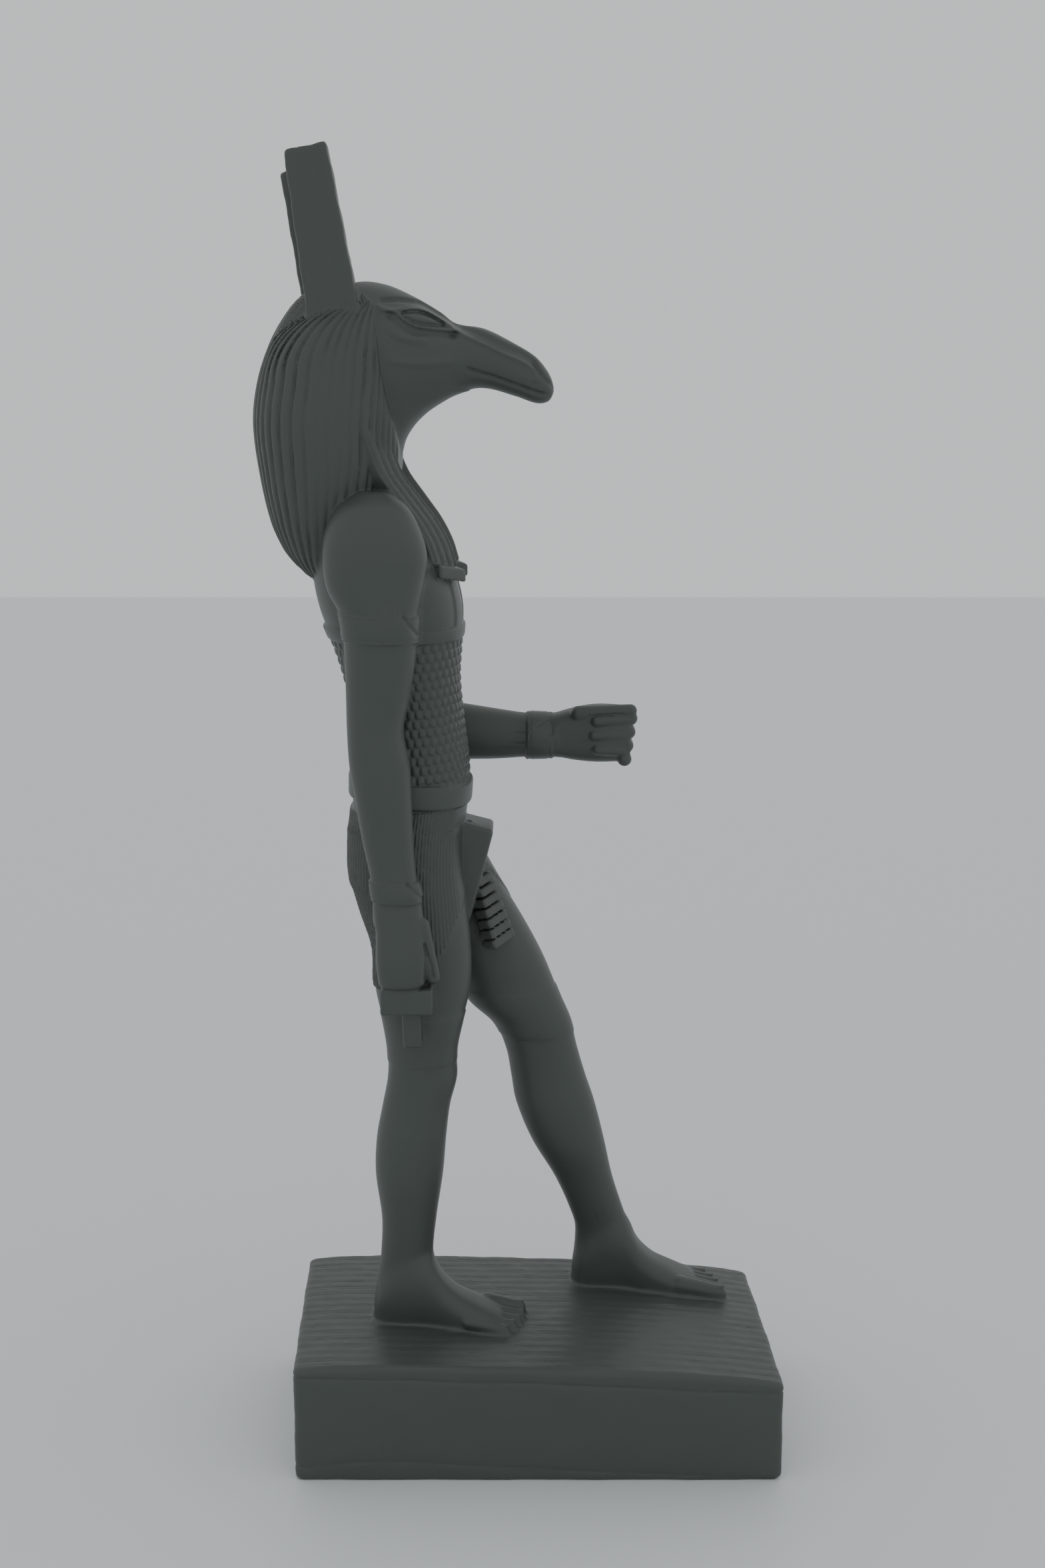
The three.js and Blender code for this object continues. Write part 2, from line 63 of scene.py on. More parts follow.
def smooth_rows(rows, at):
    """The columns of a table at the places given, on a smooth curve through its rows."""
    rows = np.array(rows, float)
    where = rows[:, 0]
    values = rows[:, 1:]
    slopes = np.empty_like(values)
    slopes[1:-1] = (values[2:] - values[:-2]) / (where[2:] - where[:-2])[:, None]
    slopes[0] = (values[1] - values[0]) / (where[1] - where[0])
    slopes[-1] = (values[-1] - values[-2]) / (where[-1] - where[-2])
    i = np.clip(np.searchsorted(where, at) - 1, 0, len(where) - 2)
    span = (where[i + 1] - where[i])[:, None]
    t = np.clip((at - where[i])[:, None] / span, 0, 1)
    return (
        (2 * t**3 - 3 * t**2 + 1) * values[i]
        + (t**3 - 2 * t**2 + t) * span * slopes[i]
        + (3 * t**2 - 2 * t**3) * values[i + 1]
        + (t**3 - t**2) * span * slopes[i + 1]
    ).T


def smooth_min(a, b, blend):
    h = np.maximum(blend - np.abs(a - b), 0) / blend
    return np.minimum(a, b) - h * h * (blend / 4)


def smooth_max(a, b, blend):
    return -smooth_min(-a, -b, blend)


def smooth_step(low, high, value):
    t = np.clip((value - low) / (high - low), 0, 1)
    return t * t * (3 - 2 * t)


def bump(distance, width):
    """1 on a line, falling smoothly to 0 at twice the width from it."""
    t = np.clip(1 - np.abs(distance) / (2 * width), 0, 1)
    return t * t * (3 - 2 * t)


class Limb:
    """A limb whose sections are superellipses. Its rows hold a place along the limb, the two edges of the
    section in the XZ plane, the Y of its middle and half its width along Y."""

    STEP = 0.25

    def __init__(self, rows, upright=True, power=2.1, grow=0.0):
        self.upright = upright
        self.power = power
        self.start = rows[0][0]
        self.stop = rows[-1][0]
        at = np.arange(self.start, self.stop + self.STEP, self.STEP)
        low, high, side, half = smooth_rows(rows, at)
        columns = np.stack([(low + high) / 2, (high - low) / 2 + grow, side, half + grow])
        self.columns = columns.astype(np.float32)
        self.slopes = np.gradient(columns, self.STEP, axis=1).astype(np.float32)
        edge_low = (columns[0] - columns[1]).min()
        edge_high = (columns[0] + columns[1]).max()
        side_low = (side - half - grow).min()
        side_high = (side + half + grow).max()
        if upright:
            self.box = ((edge_low, side_low, self.start), (edge_high, side_high, self.stop))
        else:
            self.box = ((self.start, side_low, edge_low), (self.stop, side_high, edge_high))

    def section(self, along):
        """Middle and half size of the section, Y and half width, and how they change, at places along."""
        place = np.clip((along - self.start) / self.STEP, 0, self.columns.shape[1] - 1.001)
        i = place.astype(np.int32)
        f = (place - i).astype(np.float32)
        columns = self.columns[:, i] * (1 - f) + self.columns[:, i + 1] * f
        return columns, self.slopes[:, i]

    def __call__(self, x, y, z):
        along, across = (z, x) if self.upright else (x, z)
        (middle, a, side, b), (middle_s, a_s, side_s, b_s) = self.section(along)
        p = across - middle
        q = y - side
        u = np.abs(p) / a
        v = np.abs(q) / b
        n = self.power
        k = np.maximum(u**n + v**n, 1e-6) ** (1 / n)
        k_power = k ** (1 - n)
        u_pull = u ** (n - 1) * k_power / a
        v_pull = v ** (n - 1) * k_power / b
        lean = u_pull * (np.sign(p) * middle_s + u * a_s) + v_pull * (np.sign(q) * side_s + v * b_s)
        inside = (k - 1) / np.sqrt(u_pull**2 + v_pull**2 + lean**2 + 1e-9)
        ends = np.maximum(self.start - along, along - self.stop)
        return smooth_max(inside, ends, 0.6)


def ellipsoid(x, y, z, centre, radii):
    p = [(c - m) / r for c, m, r in zip((x, y, z), centre, radii)]
    k = np.sqrt(sum(c * c for c in p) + 1e-9)
    g = np.sqrt(sum((c / r) ** 2 for c, r in zip(p, radii)) + 1e-9)
    return k * (k - 1) / g


def rod(x, y, z, start, end, start_radius, end_radius):
    """A rod with round ends whose radius changes from one end to the other."""
    axis = np.subtract(end, start)
    length2 = float(axis @ axis)
    px, py, pz = x - start[0], y - start[1], z - start[2]
    t = np.clip((px * axis[0] + py * axis[1] + pz * axis[2]) / length2, 0, 1)
    dx, dy, dz = px - t * axis[0], py - t * axis[1], pz - t * axis[2]
    return np.sqrt(dx * dx + dy * dy + dz * dz) - (start_radius + (end_radius - start_radius) * t)


def slab(x, y, z, centre, axes, half, rounding):
    """A box with rounded edges, on three unit axes."""
    p = (x - centre[0], y - centre[1], z - centre[2])
    gaps = []
    for axis, size in zip(axes, half):
        local = p[0] * axis[0] + p[1] * axis[1] + p[2] * axis[2]
        gaps.append(np.abs(local) - (size - rounding))
    outside = np.sqrt(sum(np.maximum(g, 0) ** 2 for g in gaps))
    return outside + np.minimum(np.maximum(np.maximum(*gaps[:2]), gaps[2]), 0) - rounding


def stroke(u, v, points):
    """Distance in a plane from a line through the points."""
    best = np.full_like(u, 1e3)
    for (u0, v0), (u1, v1) in zip(points[:-1], points[1:]):
        du, dv = u1 - u0, v1 - v0
        t = np.clip(((u - u0) * du + (v - v0) * dv) / (du * du + dv * dv), 0, 1)
        best = np.minimum(best, (u - u0 - t * du) ** 2 + (v - v0 - t * dv) ** 2)
    return np.sqrt(best)


def curve(points, parts=5):
    """A smooth line through the points, each stretch cut into parts."""
    points = np.array(points, float)
    rows = np.column_stack([np.arange(len(points)), points])
    at = np.linspace(0, len(points) - 1, (len(points) - 1) * parts + 1)
    return list(zip(*smooth_rows(rows, at)))


def wobble(a, b, seed):
    """A slow wandering between -1 and 1 over two coordinates in mm, the same every time."""
    rng = np.random.default_rng(seed)
    total = 0
    for scale in (1.0, 2.3, 4.7):
        phase = rng.uniform(0, 2 * math.pi, 3)
        total = total + np.sin(a * scale * 0.21 + phase[0] + 1.3 * np.sin(b * scale * 0.17 + phase[1])) / scale
    return (total / 1.65).astype(np.float32)


# The body. Rows of an upright limb are height, back, front, side and half width, and rows of a level limb
# are X, bottom, top, side and half width.

NEAR_LEG = [
    (24, -38.2, -24, -4.8, 4.9),
    (28, -38.2, -24, -4.8, 4.9),
    (38, -37.4, -23.6, -4.7, 5.1),
    (45.5, -36.6, -24.1, -4.6, 5.1),
    (54.5, -36.3, -23.2, -4.6, 5.9),
    (66, -37.6, -21.5, -4.6, 7.6),
    (75, -37.2, -20.7, -4.6, 8),
    (83, -35.7, -19.7, -4.6, 7.5),
    (90, -34.4, -18, -4.6, 7.4),
    (96.5, -34.3, -18.1, -4.6, 7.6),
    (103.5, -35.3, -16.7, -4.5, 8.6),
    (112, -37, -14.8, -4.4, 9.8),
    (122, -37.4, -14.6, -4, 10.4),
    (131, -40.2, -15.6, -3.5, 10.4),
    (140, -42.4, -17, -3, 10),
    (148, -42, -18, -2, 9.5),
]
FAR_LEG = [
    (24, 10.2, 24.4, 17.8, 4.8),
    (28, 10.2, 24.4, 17.8, 4.8),
    (41.5, 10.8, 24.8, 17.8, 5.1),
    (45.5, 9.9, 23.2, 17.7, 5.1),
    (55.5, 5.7, 20, 17.4, 5.9),
    (66, -0.3, 17.7, 17, 7.6),
    (76, -4.2, 15.2, 16.7, 8),
    (83, -5.4, 12.9, 16.5, 7.5),
    (90, -6.7, 10.9, 16.3, 7.4),
    (97, -9.8, 9.2, 16, 7.8),
    (103, -15.9, 6.7, 15.8, 8.8),
    (114, -22, 2.3, 15.5, 10),
    (124, -28, -2.9, 15, 10.4),
    (134, -35.5, -8.8, 14.5, 10.4),
    (142, -40, -13, 13.8, 10),
    (150, -41.6, -17, 13, 9.5),
]
TORSO = [
    (138, -42.6, -18, MIDLINE, 17.6),
    (148, -42.9, -16.6, MIDLINE, 17.6),
    (156, -42.2, -15.5, MIDLINE, 17),
    (164, -42, -15.3, MIDLINE, 16.2),
    (174, -41.8, -16.5, MIDLINE, 16),
    (184, -43.6, -17.3, MIDLINE, 17.4),
    (191, -45.7, -16.9, MIDLINE, 19),
    (200, -49, -16.5, MIDLINE, 21.4),
    (208, -50.4, -18.5, MIDLINE, 22.6),
    (216, -50, -23, MIDLINE, 21.5),
    (224, -47, -28.5, MIDLINE, 16),
    (230, -45, -30, MIDLINE, 11),
]
NEAR_ARM = [
    (131, -36.2, -25.2, -18.6, 4.3),
    (137, -36.2, -25.4, -18.5, 4.6),
    (142, -36.8, -26.4, -18.2, 4.8),
    (151, -38.6, -27, -17.8, 5.3),
    (160, -40, -27.3, -17.4, 6.1),
    (167, -41.1, -27.6, -17.1, 6.4),
    (175, -41.5, -28.9, -16.9, 6.3),
    (183, -41.6, -27.3, -16.7, 6.9),
    (192, -41.8, -26, -16.6, 7.6),
    (200, -42.4, -25.6, -16.4, 8.1),
    (206, -45.4, -24.5, -16, 8.8),
    (213, -46.3, -23.4, -15.6, 9.1),
    (219, -45.6, -25, -14.8, 8.6),
    (223.8, -43, -27.8, -13.4, 7),
    (227, -38.4, -32, -12, 4),
]
FAR_UPPER_ARM = [
    (160.6, -39, -33, 2 * MIDLINE + 16.7, 3.4),
    (163.5, -42, -29, 2 * MIDLINE + 16.7, 5.6),
] + [(z, back, front, 2 * MIDLINE - side, half) for z, back, front, side, half in NEAR_ARM if z > 170]
FAR_FOREARM = [
    (-40, 163, 173.6, 27.7, 4.4),
    (-34, 160.6, 176, 27.7, 6),
    (-25, 160.3, 175, 27.7, 6.3),
    (-17, 160.5, 173.9, 27.6, 6.1),
    (-9.4, 160.6, 172.7, 27.5, 5.6),
    (-1.9, 161, 171.6, 27.4, 5.2),
    (6, 161.2, 171.2, 27.3, 4.9),
]
HEAD = [
    (-50, 246, 266, MIDLINE, 10),
    (-45, 240, 270.4, MIDLINE, 12.6),
    (-39, 238, 272.5, MIDLINE, 13.4),
    (-33, 239, 271.9, MIDLINE, 12.8),
    (-27, 243.6, 269.4, MIDLINE, 11),
    (-21, 246.8, 266, MIDLINE, 8.6),
    (-17.5, 248.5, 263.5, MIDLINE, 7.1),
    (-11, 249.2, 262.3, MIDLINE, 5.7),
    (-4, 247.4, 258.9, MIDLINE, 4.8),
    (0.6, 245.9, 256, MIDLINE, 4.1),
    (3.3, 246.3, 252.7, MIDLINE, 3),
    (4.5, 248, 250, MIDLINE, 1.2),
]
NECK = [
    (214, -46, -24, MIDLINE, 12),
    (223, -46, -28, MIDLINE, 10.4),
    (230, -46, -30.2, MIDLINE, 9.6),
    (237, -46, -29.2, MIDLINE, 9.2),
    (240.5, -46, -27.4, MIDLINE, 9),
    (244.2, -46, -24.2, MIDLINE, 8.4),
    (246.8, -46, -20.8, MIDLINE, 7.4),
    (248.8, -46, -17, MIDLINE, 6),
]
NEAR_WEB = [
    (136, -36, -30, -13, 5),
    (160, -37.5, -31, -12.5, 5),
    (200, -42, -30, -13, 6),
    (222, -43, -32, -8, 7),
]
FAR_WEB = [
    (163, -40, -31, 23, 5),
    (200, -42, -30, 24, 6),
    (222, -43, -32, 19, 7),
]

near_leg = Limb(NEAR_LEG)
far_leg = Limb(FAR_LEG)
torso = Limb(TORSO, power=2.3)
near_arm = Limb(NEAR_ARM)
far_upper_arm = Limb(FAR_UPPER_ARM)
far_forearm = Limb(FAR_FOREARM, upright=False)
head_form = Limb(HEAD, upright=False)
neck_form = Limb(NECK)
near_web = Limb(NEAR_WEB)
far_web = Limb(FAR_WEB)


def trunk(x, y, z):
    """Trunk and thighs in one, without their dress."""
    hips = smooth_min(near_leg(x, y, z), far_leg(x, y, z), 1.5)
    return smooth_min(torso(x, y, z), hips, 2.5)


def around(limb, x, y, z):
    """Angle round an upright limb from its front, and the mean radius there."""
    (middle, a, side, b), _ = limb.section(z)
    return np.arctan2((y - side) / b, (x - middle) / a), (a + b) / 2


# Dress: belt, kilt, pendant, chest band, straps and the scaled corselet

BELT = (154.5, 160.1, -0.07)  # lower and upper edge at the front, and how far it falls for each mm forward
CHEST_BAND = (193.2, 196.4)
SCALE_ROW = 2.13
SCALES_ROUND = 44  # scales round the waist
KILT_GROW = 0.45
PLEATS = 116
PLEAT_DEPTH = 0.3


def ring_band(body, height, low, high, grow, edge=0.5):
    """A raised band round a body between two heights."""
    beyond = np.maximum(low - height, height - high)
    return smooth_max(body - grow, beyond, edge)


def scales(x, y, z):
    """Height of the corselet's scales: staggered rows of small round-ended tiles."""
    angle, radius = around(torso, x, y, z)
    rise = (z - CHEST_BAND[0] + 0.3 * np.sin(3 * angle)) / SCALE_ROW
    row = np.floor(rise)
    column = angle / (2 * math.pi) * SCALES_ROUND + 0.5 * (row % 2) + 0.08 * np.sin(row * 2.1)
    u = column - np.round(column)
    v = rise - row
    k = (np.abs(u / 0.47) ** 2.6 + np.abs((v - 0.5) / 0.5) ** 2.6) ** (1 / 2.6)
    tile = np.sqrt(np.clip(1 - k**3, 0, 1))
    return 0.62 * tile * (1.1 - 0.4 * v)


def corselet(body, x, y, z):
    """The scaled corselet from the belt up to the chest band."""
    height = body - 0.15 - scales(x, y, z) + 0.25
    beyond = np.maximum(BELT[1] - 1 - z, z - CHEST_BAND[0] - 0.5)
    return smooth_max(height, beyond, 0.3)


def hem_gap(x, y, z):
    """How far a point is below the kilt's hem: level at the back, rising to the pendant in front."""
    near_hem = np.maximum(112.5, 122 + 1.6 * (x + 21.7) + 0.4 * (y + 12))
    far_hem = np.maximum(112.5, 131.5 - 0.5 * (x + 5.6) - 0.9 * (y - 14))
    inner = smooth_step(3.0, 9.0, y)
    near_hem = np.where(y > 2, 140, near_hem)
    hem = near_hem * (1 - inner) + np.minimum(far_hem, 142) * inner
    return hem - z


def kilt(body, x, y, z):
    near_angle, _ = around(near_leg, x, y, z)
    hip_angle, _ = around(torso, x, y, z)
    high = smooth_step(136, 150, z)
    angle = hip_angle
    t = angle / (2 * math.pi) * PLEATS
    ridge = np.cos(2 * math.pi * t)
    front = 1 - smooth_step(0.55, 0.75, np.abs(angle))
    pleat = (1 - front) * PLEAT_DEPTH * (0.5 + 0.5 * ridge)
    below = hem_gap(x, y, z)
    above = z + BELT[2] * (-14.3 - x) * -1 - BELT[0] - 1
    return smooth_max(smooth_max(body - KILT_GROW - pleat + 0.15, below, 0.5), above, 0.3)


PENDANT_TOP = np.array([-16.4, 3.6, 148.6])
PENDANT_BOTTOM = np.array([-8.3, 4.0, 120.9])
PENDANT_SLABS = 12


def pendant(x, y, z):
    """Stacked slabs hanging in front, wider downwards, each tilted a little."""
    best = np.full_like(x, FAR)
    across = np.array([0.5, 0.82, 0.28])
    across = across / np.linalg.norm(across)
    down = PENDANT_BOTTOM - PENDANT_TOP
    down = down / np.linalg.norm(down)
    out = np.cross(down, across)
    out = out / np.linalg.norm(out)
    for i in range(PENDANT_SLABS):
        t = (i / (PENDANT_SLABS - 1)) ** 0.95
        centre = PENDANT_TOP + t * (PENDANT_BOTTOM - PENDANT_TOP)
        half = (1.5 + 2.9 * t, 0.98 + 0.12 * t, 1.9)
        best = np.minimum(best, slab(x, y, z, centre, (across, down, out), half, 0.35))
    return best


def apron(x, y, z):
    """The cloth behind the pendant, between the thighs."""
    axes = ((0.97, 0, -0.25), (0, 1, 0), (0.25, 0, 0.97))
    return slab(x, y, z, (-18.6, 5.5, 134), axes, (5.5, 6.5, 16.2), 1.0)


def straps(body, x, y, z):
    """Two straps up the chest to the lappets."""
    across = np.abs(y - MIDLINE)
    strip = np.abs(across - 7.2) - 3.0
    beyond = np.maximum(CHEST_BAND[1] - z, z - 212)
    front = -30 - x
    return smooth_max(smooth_max(body - 0.35, np.maximum(strip, front), 0.4), beyond, 0.4)


def dressed(x, y, z):
    body = trunk(x, y, z)
    tilted = z - BELT[2] * (-14.3 - x) * -1
    value = smooth_min(body, kilt(body, x, y, z), 0.25)
    value = smooth_min(value, corselet(body, x, y, z), 0.2)
    value = smooth_min(value, straps(body, x, y, z), 0.2)
    value = smooth_min(value, ring_band(body, tilted, BELT[0], BELT[1], 1.15, 1.0), 0.3)
    return smooth_min(value, ring_band(body, z, *CHEST_BAND, 0.8, 0.7), 0.3)


# Arms and hands

ARMLET = (194.6, 200.8)
NEAR_BRACELET = (136.2, 141.0)
FAR_BRACELET = (-1.5, 4.6)


def banded(limb_value, place, low, high):
    """A limb with a flat raised band, a fine line along each edge."""
    band = ring_band(limb_value, place, low, high, 0.6, 0.5)
    line = 0.2 * (bump(place - low - 0.7, 0.25) + bump(place - high + 0.7, 0.25))
    return smooth_min(limb_value, band + line, 0.3)


def arm_near(x, y, z):
    value = near_arm(x, y, z)
    value = banded(value, z + 0.03 * (x + 34), *ARMLET)
    value = banded(value, z + 0.03 * (x + 30), *NEAR_BRACELET)
    for (x0, z0), (x1, z1) in (((-28.4, 200.4), (-25.6, 196)), ((-28.4, 140.8), (-24.8, 136.6))):
        value = value + 0.35 * bump(stroke(x, z, [(x0, z0), (x1, z1)]), 0.3) * (y < -17)
    return value


def arm_far(x, y, z):
    upper = banded(far_upper_arm(x, y, z), z + 0.03 * (x + 34), *ARMLET)
    lower = banded(far_forearm(x, y, z), x, *FAR_BRACELET)
    # The bracelet's cut triangle, its point towards the elbow, on the side turned to the body
    reach = (x - 0.6) / 4.2
    cut = np.abs(z - 168.7) - 2.2 * np.clip(reach, 0, 1)
    inside = smooth_step(0.15, -0.15, cut) * ((x > 0.3) & (x < 4.7) & (y < 27))
    lower = lower + 0.45 * inside
    return smooth_min(upper, lower, 4)


def hand_near(x, y, z):
    pad = Limb.__call__(HAND_PAD, x, y, z)
    thumb = rod(x, y, z, (-25.4, -20.2, 131), (-22.9, -19.2, 118.6), 1.9, 1.7)
    value = smooth_min(pad, thumb, 0.5)
    slit = stroke(x, z, [(-24.6, 127), (-23.9, 124.3), (-23, 121.6), (-22.7, 118.9)])
    value = value + 0.5 * bump(slit, 0.22) * (y < -18)
    for i in range(4):
        height = 126.4 - 2.9 * i
        finger = rod(x, y, z, (-25.6, -18, height), (-27.4, -13.6, height - 0.4), 1.7, 1.5)
        value = smooth_min(value, finger, 0.3)
    return value


HAND_PAD = Limb(
    [
        (116.2, -34.4, -25.6, -19, 3.6),
        (117.6, -35.1, -24.6, -19.2, 4.4),
        (123, -35.6, -24.2, -19.3, 4.9),
        (129, -35.6, -24.4, -18.9, 4.8),
        (135, -36, -25.4, -18.5, 4.5),
    ],
    power=3.0,
)

ANKH_BAR = ((-28.8, -17, 113.3), (5.9, 5.4, 2.9))
ANKH_STEM_TOP = (-27.9, -15.4, 111)
ANKH_STEM_BOTTOM = (-27.7, -14.0, 101.8)


def ankh(x, y, z):
    """The crossbar and stem of the ankh below the fist. Its loop is inside the hand."""
    axes = ((1, 0, 0), (0, 1, 0), (0, 0, 1))
    (centre, half) = ANKH_BAR
    flare = 1 + 0.06 * np.abs(x - centre[0]) / half[0]
    bar = slab(x, y, centre[2] + (z - centre[2]) / flare, centre, axes, half, 0.7)
    t = np.clip((111 - z) / 9.2, 0, 1)
    stem_x = -27.9 + 0.2 * t
    stem = slab(x - stem_x, y - (-15.4 + 1.2 * t), z, (0, 0, 106.2), axes, (2.1, 4.4, 4.9), 0.6)
    return smooth_min(bar, stem, 0.4)


PALM = Limb(
    [
        (4, 161.3, 171.1, 27.3, 4.4),
        (10.5, 160.1, 173, 27.1, 5.1),
        (16, 159.7, 173.8, 26.9, 5.6),
        (23.6, 160, 173.4, 26.8, 5.4),
    ],
    upright=False,
    power=2.8,
)


def hand_far(x, y, z):
    """The clenched hand held out, thumb on top and the finger tips folded into the palm."""
    value = PALM(x, y, z)
    for i in range(4):
        height = 170.9 - 3.35 * i
        front = 23.6 - 0.45 * i
        knuckle = rod(x, y, z, (front, 23.2, height), (front, 30.6, height), 1.75, 1.75)
        value = smooth_min(value, knuckle, 0.35)
    for i, (x0, x1, height) in enumerate(((15.4, 22.6, 170.3), (14.8, 21.8, 166.9), (15.6, 21.6, 163.4))):
        tip = rod(x, y, z, (x0, 21.9, height), (x1, 22.6, height + 0.5 - 0.4 * i), 1.35, 1.5)
        value = smooth_min(value, tip, 0.25)
    thumb = rod(x, y, z, (11, 23.6, 172), (23.6, 22.6, 172.9), 1.9, 1.55)
    value = smooth_min(value, thumb, 0.5)
    gap = stroke(x, z, [(13.6, 171.6), (16, 171.9), (22, 172.2)])
    return value + 0.3 * bump(gap, 0.25) * (y < 24)


# Feet

FOOT_ROWS = [  # distance from the heel, height over the plinth and half width
    (0.3, 4.5, 3.2),
    (2, 10, 4.9),
    (7, 16, 5.3),
    (12.5, 16.8, 5.5),
    (14.8, 14.2, 5.7),
    (17.2, 10.6, 6),
    (20.5, 7.6, 6.4),
    (24.5, 5.7, 6.9),
    (28, 4.2, 7.2),
    (31, 3.0, 7.0),
]
TOES = [(0, 2.0), (0.2, 1.45), (1, 1.4), (2.2, 1.35), (3.9, 1.3)]  # how far each stops short, and its radius


def ground(x, y):
    """Height of the plinth's top."""
    along = 2 * x / PLINTH_LENGTH
    across = 2 * y / PLINTH_DEPTH
    level = PLINTH_HEEL_HEIGHT + (PLINTH_TOE_HEIGHT - PLINTH_HEEL_HEIGHT) * (1 + along) / 2
    return level + PLINTH_CROWN * (1 - np.minimum(1, along**4)) + PLINTH_CAMBER * (1 - across**2)


class Foot:
    """A foot: heel, instep and five toes. inner is +1 where the big toe is on the +Y side."""

    def __init__(self, heel, side, inner, turn, length):
        self.toes = []
        rows = []
        for along, height, half in FOOT_ROWS:
            x = heel + along
            y = side + turn * along
            level = float(ground(x, y))
            rows.append((x, level - 3, level + height, y, half))
        self.sole = Limb(rows, upright=False, power=2.6)
        for i, (short, radius) in enumerate(TOES):
            across = inner * (5 - 2.65 * i - (0.55 if i else 0))
            ends = []
            for along, lift in ((27 - i, 2.3), (length - short - radius, radius * 0.66)):
                x = heel + along
                y = side + turn * along + across
                ends.append((x, y, float(ground(x, y)) + lift))
            self.toes.append((*ends, radius * 1.18, radius))
        low, high = self.sole.box
        self.box = (low, (heel + length, high[1], high[2]))

    def __call__(self, x, y, z):
        value = self.sole(x, y, z)
        for start, end, start_radius, end_radius in self.toes:
            toe = rod(x, y, z, start, end, start_radius, end_radius)
            nail = ellipsoid(
                x, y, z,
                (end[0] + 0.1, end[1], end[2] + end_radius * 0.95),
                (end_radius * 0.85, end_radius * 0.62, 0.28),
            )
            toe = smooth_min(toe, nail, 0.15)
            value = smooth_min(value, toe, 0.45)
        return value


near_foot = Foot(heel=-38.4, side=-4.7, inner=1, turn=-0.08, length=36.6)
far_foot = Foot(heel=10, side=17.9, inner=-1, turn=-0.06, length=38.5)


# Head

BROW_GROOVE = curve([(-33.4, 268), (-30.1, 268.2), (-27.1, 267.9), (-24.5, 267.3), (-21, 265.2), (-17.4, 263.5)])
LID_RIDGE = curve([(-34.3, 266.8), (-31.5, 266), (-27.8, 266.2), (-24.8, 266.1), (-21.9, 265), (-17, 261.6)])
SNOUT_RIDGE = curve([(-17, 262), (-14.9, 260.5), (-10.8, 258.7), (-6.4, 256.6), (-2.1, 254.8), (0, 253), (0.5, 251)])
LOWER_LID = curve([(-33.6, 265.9), (-30.4, 265.5), (-28.4, 263.9), (-25.8, 262.6), (-22.7, 262.1), (-17.2, 261.6)])
LID_SHADOW = curve([(-31.5, 264.6), (-29.2, 262.8), (-26.4, 261.4), (-22.4, 260.9), (-18, 260.7)])
EYE_TOP = [(-29.2, 265.1), (-27.4, 265.6), (-25.5, 265.6), (-23, 264.8), (-21, 263.7), (-19.9, 263)]
EYE_BOTTOM = [(-29.2, 265.1), (-27.4, 263.9), (-25.5, 263.2), (-23, 262.9), (-21, 262.9), (-19.9, 263)]
POUCH = curve([(-31, 261.4), (-29.8, 260.5), (-27.6, 259.7), (-24.4, 259.4)])
JAW_RIDGE = curve([(-31, 254.9), (-27, 254.5), (-23, 254.5), (-18.5, 255)])
MOUTH = curve([(-14.8, 253.5), (-12.1, 252.6), (-8.9, 251.7), (-4.4, 250.1), (0.2, 248.5), (4.6, 247.5)])
NOSTRIL = curve([(0, 254.9), (1.2, 252.8), (2.6, 251), (4.4, 249.4)])


def head(x, y, z):
    value = smooth_min(head_form(x, y, z), neck_form(x, y, z), 3)
    side = smooth_step(0.8, 2.6, np.abs(y - MIDLINE))
    relief = 0.0
    relief = relief - 0.6 * bump(stroke(x, z, BROW_GROOVE), 0.45)
    relief = relief + 0.5 * bump(stroke(x, z, LID_RIDGE), 0.38)
    relief = relief + 0.5 * bump(stroke(x, z, SNOUT_RIDGE), 0.4)
    relief = relief - 0.7 * bump(stroke(x, z - 1.3, SNOUT_RIDGE), 0.75) * smooth_step(2.5, -1, x)
    relief = relief + 0.45 * bump(stroke(x, z, LOWER_LID), 0.32)
    relief = relief - 0.5 * bump(stroke(x, z, LID_SHADOW), 0.7)
    relief = relief + 0.45 * bump(stroke(x, z, POUCH), 0.7)
    relief = relief + 0.35 * bump(stroke(x, z, JAW_RIDGE), 0.7)
    relief = relief - 0.55 * bump(stroke(x, z, MOUTH), 0.3)
    relief = relief - 0.5 * bump(stroke(x, z, NOSTRIL), 0.3)
    # The eyeball: a low almond dome sunk between the lids
    corners = np.linspace(EYE_TOP[0][0], EYE_TOP[-1][0], 24)
    top = np.interp(x, corners, smooth_rows(EYE_TOP, corners)[0])
    bottom = np.interp(x, corners, smooth_rows(EYE_BOTTOM, corners)[0])
    open_ = np.maximum(top - bottom, 1e-3)
    t = np.clip((z - bottom) / open_, 0, 1)
    within = (x > corners[0]) & (x < corners[-1]) & (z > bottom - 0.5) & (z < top + 0.5)
    ball = 0.75 * (1 - (2 * t - 1) ** 2) * np.sqrt(np.clip(open_ / 2.6, 0, 1))
    relief = relief + np.where(within, -0.35 + ball, 0)
    return value - side * relief


# Wig

